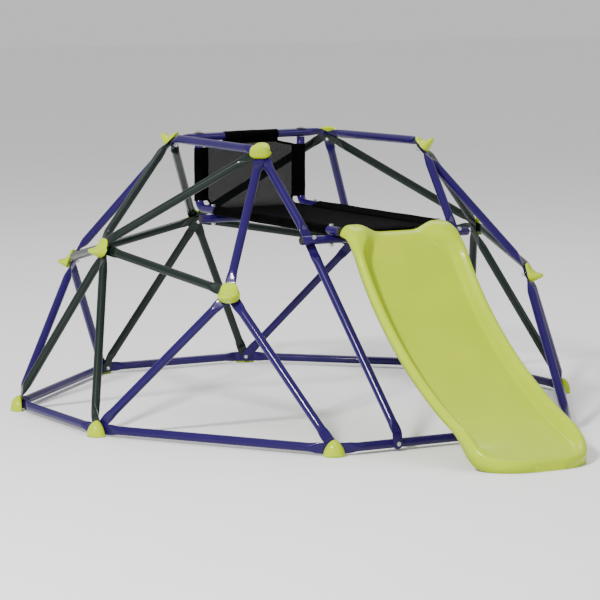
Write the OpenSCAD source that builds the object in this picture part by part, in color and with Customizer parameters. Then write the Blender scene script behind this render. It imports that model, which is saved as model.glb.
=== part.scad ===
// Geometric dome climber with a fabric seat and a slide.
// Origin: on the ground at the middle of the whole footprint, slide included.
// +Z is up, the slide runs towards -Y.

/* [Dome tubes] */
// Outside diameter of every frame tube
tube_d = 28; // [26:1:30]
// Wall of the tubes
tube_wall = 1.2; // [1:0.1:1.6]
// Width of the flattened tube ends
tab_w = 34; // [32:1:38]
// Thickness of a flattened tube end
tab_t = 3.2; // [2.8:0.1:3.6]
// Distance from a bolt to where the flat end bends into the tube's own direction
bend_reach = 36; // [32:1:40]
// Distance from that bend to where the tube is fully round
neck = 46; // [40:1:55]

/* [Dome joints] */
// Half the side of the square top ring
top_half = 303; // [295:1:315]
// Height of the top ring
top_z = 867; // [855:1:885]
// Sideways and lengthways reach of the corner joints
corner_half = 557; // [545:1:575]
// Height of the corner joints
corner_z = 458; // [445:1:475]
// Reach of the three middle joints from the dome's axis
middle_reach = 712; // [700:1:725]
// Height of the middle joints
middle_z = 554; // [540:1:570]
// Height of the ground ring tubes above the ground
base_z = 23; // [21:1:25]
// Reach of the side feet from the dome's axis
side_foot_x = 878; // [870:1:890]
// Half the spacing of the two feet on a side
side_foot_y = 288; // [280:1:296]
// Half the spacing of the two back feet
back_foot_x = 286; // [280:1:296]
// Reach of the back feet
back_foot_y = 870; // [860:1:880]
// Half the spacing of the two front feet
front_foot_x = 421; // [414:1:430]
// Reach of the front feet
front_foot_y = 962; // [955:1:975]

/* [Slide portal and seat] */
// Half the length of the cross tube that carries the slide
cross_half = 309; // [304:1:316]
// Distance of the cross tube in front of the dome's axis
cross_y = 572; // [568:1:580]
// Height of the cross tube's axis
cross_z = 611; // [606:1:616]
// Half the spacing of the portal legs at the cross tube
portal_half = 271; // [266:1:276]
// Half the spacing of the portal legs at the ground
leg_half = 214; // [205:1:222]
// Half the spacing of the two seat rails
rail_half = 200; // [194:1:206]
// Centre line radius of the bend from post to rail
bend_r = 36; // [32:1:42]
// Half the length of the rear cross tube
rear_half = 248; // [240:1:260]
// Distance of the rear cross tube behind the dome's axis
rear_y = 211; // [205:1:217]

/* [Slide] */
// Outside width of the slide
slide_w = 406; // [400:1:412]
// Height of the side rails above the bed
rail_h = 40; // [38:1:44]
// Wall of the moulding
slide_t = 4.5; // [4:0.1:5]
// Height of the bed at the top lip
lip_z = 633; // [631:1:634]

/* [Grips, feet and bolts] */
// Width of a hand grip across the slope
grip_w = 72; // [68:1:76]
// Length of a hand grip down the slope
grip_l = 66; // [62:1:70]
// Height of the horn on a hand grip
grip_h = 44; // [38:1:48]
// Width of a foot cap
foot_w = 68; // [64:1:74]
// Depth of a foot cap
foot_d = 34; // [32:1:40]
// Height of a foot cap
foot_h = 50; // [48:1:54]
// Diameter of the bolts
bolt_d = 8; // [7:1:8]

/* [Hidden] */

$fn = 48;
INDIGO = "#3c308c";
PINE = "#2e3b38";
LIME = "#bccb46";
BLACK = "#1b1b1d";
SILVER = "#c8cacd";
GREY = "#4a4b52";

// From the middle of the footprint back to the dome's own axis; every place below is given from that axis
dome_y = 286;
tube_r = tube_d / 2;
hole_d = bolt_d + 0.6;
pitch = tab_t + 0.1;
rail_z = cross_z + tube_d;
rail_front_y = -cross_y - 50;
lip_y = -cross_y - 58;
portal_el = 36.87;
portal_gap = tube_r + pitch + 0.2;
portal_y = -cross_y + portal_gap * cos(portal_el);
portal_z = cross_z - portal_gap * sin(portal_el);

// Which way a joint's flat ends face, as degrees above the horizon
top_el = 43;
corner_el = 18;
middle_el = 20;

function heading(p) = atan2(p[1], p[0]);
function joint_row(name, p, el) = [name, p, heading(p), el];

// How far the bend of the front ground tube carries its axis forward of its two bolts
front_head = atan2(front_foot_y, front_foot_x);
ground_front_y = -front_foot_y - bend_reach * cos(front_head) - pitch * sin(front_head);
leg_y = ground_front_y - tube_r - pitch / 2 - 0.1;

// Every joint: name, place, heading of its face, elevation of its face
JOINTS = [
  joint_row("top_back_left", [-top_half, top_half, top_z], top_el),
  joint_row("top_front_left", [-top_half, -top_half, top_z], top_el),
  joint_row("top_back_right", [top_half, top_half, top_z], top_el),
  joint_row("top_front_right", [top_half, -top_half, top_z], top_el),
  joint_row("corner_back_left", [-corner_half, corner_half, corner_z], corner_el),
  joint_row("corner_front_left", [-corner_half, -corner_half, corner_z], corner_el),
  joint_row("corner_back_right", [corner_half, corner_half, corner_z], corner_el),
  joint_row("corner_front_right", [corner_half, -corner_half, corner_z], corner_el),
  joint_row("middle_left", [-middle_reach, 0, middle_z], middle_el),
  joint_row("middle_back", [0, middle_reach, middle_z], middle_el),
  joint_row("middle_right", [middle_reach, 0, middle_z], middle_el),
  joint_row("foot_left_back", [-side_foot_x, side_foot_y, base_z], 0),
  joint_row("foot_left_front", [-side_foot_x, -side_foot_y, base_z], 0),
  joint_row("foot_front_left", [-front_foot_x, -front_foot_y, base_z], 0),
  joint_row("foot_front_right", [front_foot_x, -front_foot_y, base_z], 0),
  joint_row("foot_right_front", [side_foot_x, -side_foot_y, base_z], 0),
  joint_row("foot_right_back", [side_foot_x, side_foot_y, base_z], 0),
  joint_row("foot_back_right", [back_foot_x, back_foot_y, base_z], 0),
  joint_row("foot_back_left", [-back_foot_x, back_foot_y, base_z], 0),
  ["portal_left", [-portal_half, portal_y, portal_z], -90, portal_el],
  ["portal_right", [portal_half, portal_y, portal_z], -90, portal_el],
  ["leg_foot_left", [-leg_half, leg_y, base_z], -90, 0],
  ["leg_foot_right", [leg_half, leg_y, base_z], -90, 0]
];
GRIP_FIRST = 0;
GRIP_TOP_LAST = 3;
GRIP_LAST = 10;
FOOT_FIRST = 11;
FOOT_LAST = 18;
PORTAL_FIRST = 19;
LEG_FOOT_FIRST = 21;

// Every straight tube: name, first joint, second joint, colour, then its place in the stack of flat ends
// at each joint, 1 innermost
STRUTS = [
  ["top_tube_left", "top_back_left", "top_front_left", INDIGO, 3, 1],
  ["top_tube_back", "top_back_left", "top_back_right", INDIGO, 2, 4],
  ["top_tube_right", "top_back_right", "top_front_right", INDIGO, 2, 4],
  ["corner_tube_back_left", "top_back_left", "corner_back_left", INDIGO, 4, 2],
  ["corner_tube_front_left", "top_front_left", "corner_front_left", INDIGO, 3, 3],
  ["corner_tube_back_right", "top_back_right", "corner_back_right", INDIGO, 3, 2],
  ["corner_tube_front_right", "top_front_right", "corner_front_right", INDIGO, 1, 1],
  ["left_tube_to_top_back", "middle_left", "top_back_left", PINE, 5, 5],
  ["left_tube_to_top_front", "middle_left", "top_front_left", PINE, 6, 4],
  ["left_tube_to_corner_back", "middle_left", "corner_back_left", PINE, 3, 3],
  ["left_tube_to_corner_front", "middle_left", "corner_front_left", PINE, 1, 4],
  ["left_tube_to_foot_back", "middle_left", "foot_left_back", PINE, 2, 4],
  ["left_tube_to_foot_front", "middle_left", "foot_left_front", PINE, 4, 4],
  ["back_tube_to_top_left", "middle_back", "top_back_left", PINE, 6, 1],
  ["back_tube_to_top_right", "middle_back", "top_back_right", PINE, 3, 5],
  ["back_tube_to_corner_left", "middle_back", "corner_back_left", PINE, 2, 4],
  ["back_tube_to_corner_right", "middle_back", "corner_back_right", PINE, 4, 3],
  ["back_tube_to_foot_left", "middle_back", "foot_back_left", PINE, 1, 1],
  ["back_tube_to_foot_right", "middle_back", "foot_back_right", PINE, 5, 3],
  ["right_tube_to_top_back", "middle_right", "top_back_right", PINE, 5, 1],
  ["right_tube_to_top_front", "middle_right", "top_front_right", PINE, 2, 2],
  ["right_tube_to_corner_back", "middle_right", "corner_back_right", PINE, 3, 4],
  ["right_tube_to_corner_front", "middle_right", "corner_front_right", PINE, 6, 4],
  ["right_tube_to_foot_back", "middle_right", "foot_right_back", PINE, 4, 1],
  ["right_tube_to_foot_front", "middle_right", "foot_right_front", PINE, 1, 3],
  ["leg_back_left_outer", "corner_back_left", "foot_left_back", INDIGO, 1, 3],
  ["leg_back_left_inner", "corner_back_left", "foot_back_left", INDIGO, 5, 3],
  ["leg_front_left_outer", "corner_front_left", "foot_left_front", INDIGO, 1, 1],
  ["leg_front_left_inner", "corner_front_left", "foot_front_left", INDIGO, 2, 1],
  ["leg_back_right_outer", "corner_back_right", "foot_right_back", INDIGO, 5, 2],
  ["leg_back_right_inner", "corner_back_right", "foot_back_right", INDIGO, 1, 1],
  ["leg_front_right_outer", "corner_front_right", "foot_right_front", INDIGO, 2, 2],
  ["leg_front_right_inner", "corner_front_right", "foot_front_right", INDIGO, 3, 2],
  ["ground_tube_left", "foot_left_back", "foot_left_front", INDIGO, 1, 3],
  ["ground_tube_back_left", "foot_back_left", "foot_left_back", INDIGO, 2, 2],
  ["ground_tube_back", "foot_back_left", "foot_back_right", INDIGO, 4, 4],
  ["ground_tube_back_right", "foot_back_right", "foot_right_back", INDIGO, 2, 4],
  ["ground_tube_right", "foot_right_back", "foot_right_front", INDIGO, 3, 4],
  ["ground_tube_front_right", "foot_right_front", "foot_front_right", INDIGO, 1, 1],
  ["ground_tube_front", "foot_front_left", "foot_front_right", INDIGO, 3, 3],
  ["ground_tube_front_left", "foot_front_left", "foot_left_front", INDIGO, 2, 2],
  ["portal_upper_leg_left", "top_front_left", "portal_left", INDIGO, 2, 2],
  ["portal_upper_leg_right", "top_front_right", "portal_right", INDIGO, 3, 2],
  ["portal_lower_leg_left", "portal_left", "leg_foot_left", INDIGO, 1, 1],
  ["portal_lower_leg_right", "portal_right", "leg_foot_right", INDIGO, 1, 1]
];

TOP_BACK = 1;
GROUND_FRONT = 39;
PLAIN_STRUTS = [for (i = [0:len(STRUTS) - 1]) if (i != TOP_BACK && i != GROUND_FRONT) i];

function joint(name) = JOINTS[search([name], JOINTS)[0]];
function meets(row, name) = row[1] == name || row[2] == name;
function tabs_at(name) = len([for (row = STRUTS) if (meets(row, name)) 1]);
function level(place, name) = (place - 1 - (tabs_at(name) - 1) / 2) * pitch;
function stack_half(name) = tabs_at(name) * pitch / 2;
function downhill(j) = [sin(j[3]) * cos(j[2]), sin(j[3]) * sin(j[2]), -cos(j[3])];
function outward(j) = [cos(j[3]) * cos(j[2]), cos(j[3]) * sin(j[2]), sin(j[3])];
function across(j) = [-sin(j[2]), cos(j[2]), 0];
function turn_to(j, d) = atan2(d * across(j), d * downhill(j));
function unit(v) = v / norm(v);

// Where the flat end at joint j, aimed along d, bends into the tube's own direction
function bend_point(j, d, lift) = j[1] + lift * outward(j)
  + bend_reach * unit(d - (d * outward(j)) * outward(j));
function strut_aim(i) = unit(joint(STRUTS[i][2])[1] - joint(STRUTS[i][1])[1]);
function strut_start(i) = bend_point(joint(STRUTS[i][1]), strut_aim(i), level(STRUTS[i][4], STRUTS[i][1]));
function strut_end(i) = bend_point(joint(STRUTS[i][2]), -strut_aim(i), level(STRUTS[i][5], STRUTS[i][2]));

// Point on the axis of the top back tube at x
top_back_way = unit(strut_end(TOP_BACK) - strut_start(TOP_BACK));
function top_back_at(x) = strut_start(TOP_BACK)
  + (x - strut_start(TOP_BACK)[0]) / top_back_way[0] * top_back_way;
post_y = top_back_at(0)[1];

// Moves children from the dome's axis to their place on the footprint
module dome_frame() {
  translate([0, dome_y, 0])
    children();
}

// Puts children on a joint: local Z points out of the dome, local X down the slope
module at_joint(j) {
  translate(j[1])
    rotate([0, 90 - j[3], j[2]])
      children();
}

// Puts children at p with local Z along the unit direction d
module along(p, d) {
  translate(p)
    rotate([0, acos(d[2]), atan2(d[1], d[0])])
      children();
}

// Flattened end of a tube: a drilled plate on the joint's bolt, aimed along aim, then a neck that opens
// from the bend at p into the round tube that runs along d
module flat_end(j, aim, lift, p, d) {
  at_joint(j)
    translate([0, 0, lift])
      rotate(turn_to(j, aim))
        translate([0, 0, -tab_t / 2])
          linear_extrude(tab_t)
            difference() {
              union() {
                circle(d = tab_w);
                translate([0, -tab_w / 2])
                  square([bend_reach, tab_w]);
              }
              circle(d = hole_d);
            }
  hull() {
    at_joint(j)
      translate([0, 0, lift])
        rotate(turn_to(j, aim))
          translate([bend_reach - 5, 0.5 - tab_w / 2, 0.4 - tab_t / 2])
            cube([1, tab_w - 1, tab_t - 0.8]);
    along(p + neck * d, d)
      cylinder(h = 2, d = tube_d - tube_wall, $fn = 28);
  }
}

// Straight frame tube between two joints, flattened and bent at both ends
module strut(i) {
  aim = strut_aim(i);
  p = strut_start(i);
  q = strut_end(i);
  span = norm(q - p);
  d = (q - p) / span;
  color(STRUTS[i][3]) dome_frame() {
    flat_end(joint(STRUTS[i][1]), aim, level(STRUTS[i][4], STRUTS[i][1]), p, d);
    flat_end(joint(STRUTS[i][2]), -aim, level(STRUTS[i][5], STRUTS[i][2]), q, -d);
    along(p + (neck + 1) * d, d)
      difference() {
        cylinder(h = span - 2 * neck - 2, d = tube_d);
        translate([0, 0, -3])
          cylinder(h = span - 2 * neck + 4, d = tube_d - 2 * tube_wall);
      }
  }
}

// Two upright bolt holes at the same distance either side of the middle
module upright_holes(y, z, half) {
  for (side = [-1, 1])
    translate([side * half, y, z - 40])
      cylinder(h = 80, d = hole_d);
}

// Top back tube, drilled for the two seat posts
module top_tube_back() {
  color(INDIGO)
    difference() {
      strut(TOP_BACK);
      dome_frame()
        upright_holes(post_y, top_back_at(0)[2], rail_half);
    }
}

// Front ground tube, drilled for the two portal legs
module ground_tube_front() {
  color(INDIGO)
    difference() {
      strut(GROUND_FRONT);
      dome_frame()
        for (side = [-1, 1])
          translate([side * leg_half, ground_front_y - 30, base_z])
            rotate([-90, 0, 0])
              cylinder(h = 60, d = hole_d);
    }
}

// Plain round tube across the dome
module cross_stock(half, y, z) {
  translate([-half, y, z])
    rotate([0, 90, 0])
      difference() {
        cylinder(h = 2 * half, d = tube_d);
        translate([0, 0, -1])
          cylinder(h = 2 * half + 2, d = tube_d - 2 * tube_wall);
      }
}

// Cross tube in front of the portal legs: it carries the seat rails and the slide
module cross_tube() {
  color(INDIGO) dome_frame()
    difference() {
      cross_stock(cross_half, -cross_y, cross_z);
      upright_holes(-cross_y, cross_z, rail_half);
      upright_holes(-cross_y, cross_z, slide_bolt_x);
      for (side = [-1, 1])
        translate([side * portal_half, -cross_y, cross_z])
          rotate([90 - portal_el, 0, 0])
            translate([0, 0, -30])
              cylinder(h = 60, d = hole_d);
    }
}

// Cross tube under the back of the seat rails
module rear_cross_tube() {
  color(INDIGO) dome_frame()
    difference() {
      cross_stock(rear_half, rear_y, cross_z);
      upright_holes(rear_y, cross_z, rail_half);
    }
}

// Solid core of a seat rail: post, bend and rail as one bent bar of the given diameter
module bent_bar(d, top) {
  translate([0, post_y, rail_z + bend_r])
    cylinder(h = top - rail_z - bend_r, d = d);
  translate([0, post_y - bend_r, rail_z + bend_r])
    rotate([90, 0, 90])
      rotate([0, 0, -90])
        rotate_extrude(angle = 90)
          translate([bend_r, 0])
            circle(d = d);
  translate([0, rail_front_y, rail_z])
    rotate([-90, 0, 0])
      cylinder(h = post_y - bend_r - rail_front_y, d = d);
}

// L-shaped seat tube: its post hangs from the top back tube and its rail rests on both cross tubes
module seat_rail(side) {
  top = top_back_at(side * rail_half)[2];
  color(INDIGO) dome_frame()
    difference() {
      translate([side * rail_half, 0, 0])
        bent_bar(tube_d, top);
      translate([side * rail_half, 0, 0])
        bent_bar(tube_d - 2 * tube_wall, top + 1);
      translate([side * rail_half, rail_front_y - 1, rail_z])
        rotate([-90, 0, 0])
          cylinder(h = 3, d = tube_d - 2 * tube_wall);
      along(top_back_at(side * rail_half) - 30 * top_back_way, top_back_way)
        cylinder(h = 60, d = tube_d + 0.4);
      for (y = [-cross_y, rear_y])
        translate([side * rail_half, y, rail_z - 20])
          cylinder(h = 40, d = hole_d);
    }
}

sleeve_in = tube_r + 0.6;
sleeve_out = tube_r + 2.6;
cloth_t = 2.4;
sleeve_top_z = 850;
sleeve_low_z = rail_z + bend_r;
sleeve_back_y = 186;
sleeve_front_y = -cross_y + 16;
cloth_front_y = -cross_y - 50;
top_sleeve_half = 104;
cloth_half = rail_half - sleeve_in - 0.4;
scallop_r = 46;

// Cloth sleeve around a tube that runs along local Z
module sleeve(h) {
  difference() {
    cylinder(h = h, r = sleeve_out);
    translate([0, 0, -1])
      cylinder(h = h + 2, r = sleeve_in);
  }
}

// Sewn sling: mesh back and seat in one piece, with sleeves on the top tube, the posts and the rails
module sling() {
  color(BLACK) dome_frame() {
    for (side = [-1, 1]) {
      translate([side * rail_half, post_y, sleeve_low_z])
        sleeve(sleeve_top_z - sleeve_low_z);
      translate([side * rail_half, sleeve_front_y, rail_z])
        rotate([-90, 0, 0])
          sleeve(sleeve_back_y - sleeve_front_y);
    }
    along(top_back_at(-top_sleeve_half), top_back_way)
      sleeve(2 * top_sleeve_half);
    translate([0, post_y + cloth_t / 2, 0])
      rotate([90, 0, 0])
        linear_extrude(cloth_t)
          difference() {
            translate([-cloth_half, rail_z + bend_r])
              square([2 * cloth_half, top_back_at(0)[2] - rail_z - bend_r - sleeve_in - 1.4]);
            for (side = [-1, 1])
              translate([side * (cloth_half - 24), top_back_at(0)[2] + 12])
                circle(r = scallop_r);
          }
    translate([-cloth_half, 0, 0])
      rotate([90, 0, 90])
        linear_extrude(2 * cloth_half)
          intersection() {
            translate([post_y - bend_r, rail_z + bend_r])
              difference() {
                circle(r = bend_r + cloth_t / 2);
                circle(r = bend_r - cloth_t / 2);
              }
            translate([post_y - bend_r, rail_z - cloth_t])
              square([bend_r + cloth_t, bend_r + cloth_t]);
          }
    translate([-cloth_half, cloth_front_y, rail_z - cloth_t / 2])
      cube([2 * cloth_half, post_y - bend_r - cloth_front_y, cloth_t]);
  }
}

slide_bolt_x = 120;
LIP_STEPS = 5;
RUN_STEPS = 12;
NOSE_STEPS = 6;
crest_r = 16;
fillet_r = 20;
slide_half = slide_w / 2;
crest_x = slide_half - crest_r;
fillet_x = crest_x - crest_r - fillet_r - 1;
skirt = 26;
lip_r = 60;
drop_angle = 62;
drop_arm = 380;
run_angle = 7;
run_arm = 200;
nose_y = -1474;
nose_r = 29;
nose_z = nose_r * cos(run_angle);

// Half of the slide's cross-section, from the middle of the bed to the hem of the rail, set in by inset
function half_section(inset) = concat(
  [for (x = [0, 90]) [x, -inset]],
  [for (a = [-90, -50, -12]) let (r = fillet_r + inset) [fillet_x + r * cos(a), fillet_r + r * sin(a)]],
  [for (a = [168, 126, 84, 42, 0]) let (r = crest_r - inset) [crest_x + r * cos(a), rail_h - crest_r + r * sin(a)]],
  [[slide_half - inset, rail_h - skirt]]
);
function mirrored(pts) = [for (i = [len(pts) - 1:-1:1]) [-pts[i][0], pts[i][1]]];
function backwards(pts) = [for (i = [len(pts) - 1:-1:0]) pts[i]];
function full_section(inset) = concat(mirrored(half_section(inset)), half_section(inset));
section = concat(full_section(0), backwards(full_section(slide_t)));
half_ring = len(section) / 2;

drop_start = [lip_y - lip_r * sin(drop_angle), lip_z - lip_r * (1 - cos(drop_angle))];
drop_pull = drop_start - drop_arm * [cos(drop_angle), sin(drop_angle)];
nose_start = [nose_y, nose_z];
nose_pull = nose_start + run_arm * [cos(run_angle), sin(run_angle)];

function bezier(t) = pow(1 - t, 3) * drop_start + 3 * pow(1 - t, 2) * t * drop_pull
  + 3 * (1 - t) * t * t * nose_pull + pow(t, 3) * nose_start;
function bezier_way(t) = pow(1 - t, 2) * (drop_pull - drop_start) + 2 * (1 - t) * t * (nose_pull - drop_pull)
  + t * t * (nose_start - nose_pull);
function slope(v) = atan2(-v[1], -v[0]);

// Stations down the slide: place in Y and Z, slope in degrees, and 0 to 1 for how far round the nose it is
stations = concat(
  [for (i = [0:LIP_STEPS - 1]) let (a = drop_angle * i / LIP_STEPS)
    [lip_y - lip_r * sin(a), lip_z - lip_r * (1 - cos(a)), a, 0]],
  [for (i = [0:RUN_STEPS]) let (t = i / RUN_STEPS, p = bezier(t))
    [p[0], p[1], slope(bezier_way(t)), max(0, (t - 0.9) * 2.5)]],
  [for (i = [1:NOSE_STEPS]) let (a = run_angle + (90 - run_angle) * i / NOSE_STEPS)
    [nose_y - nose_r * (sin(a) - sin(run_angle)), nose_r * cos(a), a, 0.25 + 0.75 * i / NOSE_STEPS]]
);
function station_point(s, q) = let (h = q[1] < 0 ? q[1] : q[1] * (1 - 0.8 * s[3]), w = 1 - 0.12 * s[3] * s[3])
  [q[0] * w, s[0] - h * sin(s[2]), s[1] + h * cos(s[2])];
slide_points = [for (s = stations, q = section) station_point(s, q)];
ring = len(section);
last_ring = (len(stations) - 1) * ring;
slide_faces = concat(
  [for (i = [0:half_ring - 2]) [i + 1, i, ring - 2 - i]],
  [for (i = [0:half_ring - 2]) [i, ring - 1 - i, ring - 2 - i]],
  [for (k = [0:len(stations) - 2], i = [0:ring - 1])
    [k * ring + i, (k + 1) * ring + (i + 1) % ring, (k + 1) * ring + i]],
  [for (k = [0:len(stations) - 2], i = [0:ring - 1])
    [k * ring + i, k * ring + (i + 1) % ring, (k + 1) * ring + (i + 1) % ring]],
  [for (i = [0:half_ring - 2]) [last_ring + i, last_ring + i + 1, last_ring + ring - 2 - i]],
  [for (i = [0:half_ring - 2]) [last_ring + i, last_ring + ring - 2 - i, last_ring + ring - 1 - i]]
);
hook_half = 165;
hook_back_y = -cross_y + tube_r + 7;
hook_z = cross_z + tube_r + 0.5;

// Moulded slide: rolled rails, dished bed and rolled nose, with a hook that drops over the cross tube
module slide() {
  color(LIME) dome_frame()
    difference() {
      union() {
        polyhedron(points = slide_points, faces = slide_faces);
        translate([-hook_half, lip_y - 2, hook_z])
          cube([2 * hook_half, hook_back_y - lip_y + 2, slide_t]);
        translate([-hook_half, hook_back_y - slide_t, cross_z - tube_r / 2])
          cube([2 * hook_half, slide_t, hook_z - cross_z + tube_r / 2 + slide_t]);
      }
      upright_holes(-cross_y, cross_z, slide_bolt_x);
    }
}

// Side outline of a hand grip: a thin uphill edge, a hollow for the fingers and a blunt downhill horn
function grip_side() = concat(
  [[-grip_l / 2, 0], [-grip_l / 2, 5]],
  [for (i = [1:9]) let (t = i / 10) [-grip_l / 2 + t * (grip_l * 0.78), 6 + (grip_h - 14) * pow(t, 2.6)]],
  [for (a = [150:-30:-30]) [grip_l * 0.36 + 8 * cos(a), grip_h - 8 + 8 * sin(a)]],
  [[grip_l / 2, 9], [grip_l / 2, 0]]
);

// Hand grip: rounded square moulding with a pocket for the bolt head
module grip() {
  difference() {
    intersection() {
      translate([0, grip_w / 2, 0])
        rotate([90, 0, 0])
          linear_extrude(grip_w)
            polygon(grip_side());
      linear_extrude(grip_h + 5)
        hull()
          for (x = [-1, 1], y = [-1, 1])
            translate([x * (grip_l / 2 - 16), y * (grip_w / 2 - 16 - (1 - x) * 3)])
              circle(r = 16, $fn = 32);
    }
    translate([0, 0, -1])
      cylinder(h = 8, d = 17);
  }
}

// Hand grips on a run of joints, each on the outside of its stack of tube ends
module grips(first, last) {
  color(LIME) dome_frame()
    for (k = [first:last])
      at_joint(JOINTS[k])
        translate([0, 0, stack_half(JOINTS[k][0])])
          grip();
}

// Foot cap: quarter-dome with a flat back against the tube ends and a flat sole on the ground
module foot_cap() {
  difference() {
    intersection() {
      linear_extrude(foot_d)
        polygon(concat(
          [[base_z, foot_w / 2], [base_z - 8, foot_w / 2 - 0.5]],
          [for (a = [60:15:300]) [base_z - foot_h + 18 + 18 * cos(a), 18 * sin(a)]],
          [[base_z - 8, 0.5 - foot_w / 2], [base_z, -foot_w / 2]]
        ));
      translate([0, foot_w / 2, 0])
        rotate([90, 0, 0])
          linear_extrude(foot_w)
            polygon(concat(
              [[base_z, 0]],
              [for (a = [90:7.5:180]) [base_z + foot_h * cos(a), foot_d * sin(a)]]
            ));
    }
    translate([0, 0, -1])
      cylinder(h = 8, d = 17);
  }
}

module foot_caps() {
  color(LIME) dome_frame()
    for (k = [FOOT_FIRST:FOOT_LAST])
      at_joint(JOINTS[k])
        translate([0, 0, stack_half(JOINTS[k][0])])
          foot_cap();
}

// Hexagon-headed bolt: the head's underside is at Z 0 and the shank runs down
module bolt(grip_len) {
  cylinder(h = 5.3, d = 15, $fn = 6);
  translate([0, 0, -grip_len])
    cylinder(h = grip_len, d = bolt_d);
}

// Domed cap nut: its face is at Z 0 and it points down
module cap_nut() {
  difference() {
    union() {
      translate([0, 0, -6])
        cylinder(h = 6, d = 15, $fn = 6);
      translate([0, 0, -6])
        sphere(d = 12.4);
    }
    translate([0, 0, -8.2])
      cylinder(h = 9, d = bolt_d + 0.1);
  }
}

// One bolt on each dome joint, on each portal joint and at the foot of each portal leg
module frame_bolts() {
  color(SILVER) dome_frame() {
    for (k = [GRIP_FIRST:FOOT_LAST])
      at_joint(JOINTS[k])
        translate([0, 0, stack_half(JOINTS[k][0])])
          bolt(2 * stack_half(JOINTS[k][0]) + 8);
    for (k = [PORTAL_FIRST, PORTAL_FIRST + 1])
      at_joint(JOINTS[k])
        translate([0, 0, portal_gap + tube_r])
          bolt(portal_gap + tube_r + stack_half(JOINTS[k][0]) + 8);
    for (k = [LEG_FOOT_FIRST, LEG_FOOT_FIRST + 1])
      at_joint(JOINTS[k])
        translate([0, 0, pitch / 2])
          bolt(pitch + tube_d + 8);
  }
}

saddle_t = 2;
rail_head_z = rail_z + tube_r;
cross_low_z = cross_z - tube_r;

// Upright bolts: top tube to posts, rails to both cross tubes, slide hook to the cross tube
module seat_bolts() {
  color(SILVER) dome_frame()
    for (side = [-1, 1]) {
      translate([side * rail_half, post_y, top_back_at(side * rail_half)[2] + tube_r + saddle_t + 0.1])
        bolt(tube_d + saddle_t + 16);
      for (y = [-cross_y, rear_y])
        translate([side * rail_half, y, rail_head_z])
          bolt(rail_head_z - cross_low_z + 8);
      translate([side * slide_bolt_x, -cross_y, hook_z + slide_t])
        bolt(hook_z + slide_t - cross_low_z + 8);
    }
}

// Cap nuts on every bolt that doesn't end in a threaded insert
module cap_nuts() {
  color(SILVER) dome_frame() {
    for (k = [GRIP_FIRST:FOOT_LAST])
      at_joint(JOINTS[k])
        translate([0, 0, -stack_half(JOINTS[k][0])])
          cap_nut();
    for (k = [PORTAL_FIRST, PORTAL_FIRST + 1])
      at_joint(JOINTS[k])
        translate([0, 0, -stack_half(JOINTS[k][0])])
          cap_nut();
    for (k = [LEG_FOOT_FIRST, LEG_FOOT_FIRST + 1])
      at_joint(JOINTS[k])
        translate([0, 0, -pitch / 2 - tube_d])
          cap_nut();
    for (side = [-1, 1]) {
      for (y = [-cross_y, rear_y])
        translate([side * rail_half, y, cross_low_z])
          cap_nut();
      translate([side * slide_bolt_x, -cross_y, cross_low_z])
        cap_nut();
    }
  }
}

// Push-in plug: a head over the tube's end and a shank inside it; it faces along local Z
module plug() {
  cylinder(h = 4, d = tube_d);
  translate([0, 0, -12])
    cylinder(h = 12, d = tube_d - 2 * tube_wall - 0.2);
}

module tube_plugs() {
  color(GREY) dome_frame()
    for (side = [-1, 1]) {
      translate([side * rail_half, rail_front_y, rail_z])
        rotate([90, 0, 0])
          plug();
      translate([side * cross_half, -cross_y, cross_z])
        rotate([0, side * 90, 0])
          plug();
      translate([side * rear_half, rear_y, cross_z])
        rotate([0, side * 90, 0])
          plug();
    }
}

// Curved washers that seat the post bolts on the top back tube
module saddle_washers() {
  color(BLACK) dome_frame()
    for (side = [-1, 1])
      translate([side * rail_half, post_y, top_back_at(side * rail_half)[2]])
        difference() {
          intersection() {
            translate([-14, 0, 0])
              rotate([0, 90, 0])
                cylinder(h = 28, r = tube_r + saddle_t);
            translate([-14, -10, 0])
              cube([28, 20, tube_r + saddle_t]);
          }
          translate([-15, 0, 0])
            rotate([0, 90, 0])
              cylinder(h = 30, r = tube_r + 0.3);
          cylinder(h = 40, d = hole_d);
        }
}

insert_h = 26;

// Threaded inserts inside the tops of the seat posts
module post_inserts() {
  color(GREY) dome_frame()
    for (side = [-1, 1])
      translate([side * rail_half, post_y, top_back_at(side * rail_half)[2] - tube_r - 1 - insert_h])
        difference() {
          cylinder(h = insert_h, d = tube_d - 2 * tube_wall - 0.2);
          translate([0, 0, -1])
            cylinder(h = insert_h + 2, d = bolt_d + 0.1);
        }
}

for (i = PLAIN_STRUTS)
  strut(i);
top_tube_back();
ground_tube_front();
cross_tube();
rear_cross_tube();
seat_rail(-1);  // seat_rail_left
seat_rail(1);  // seat_rail_right
sling();
slide();
grips(GRIP_FIRST, GRIP_TOP_LAST);  // top_grips
grips(GRIP_TOP_LAST + 1, GRIP_LAST);  // side_grips
foot_caps();
frame_bolts();
seat_bolts();
cap_nuts();
tube_plugs();
saddle_washers();
post_inserts();
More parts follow.
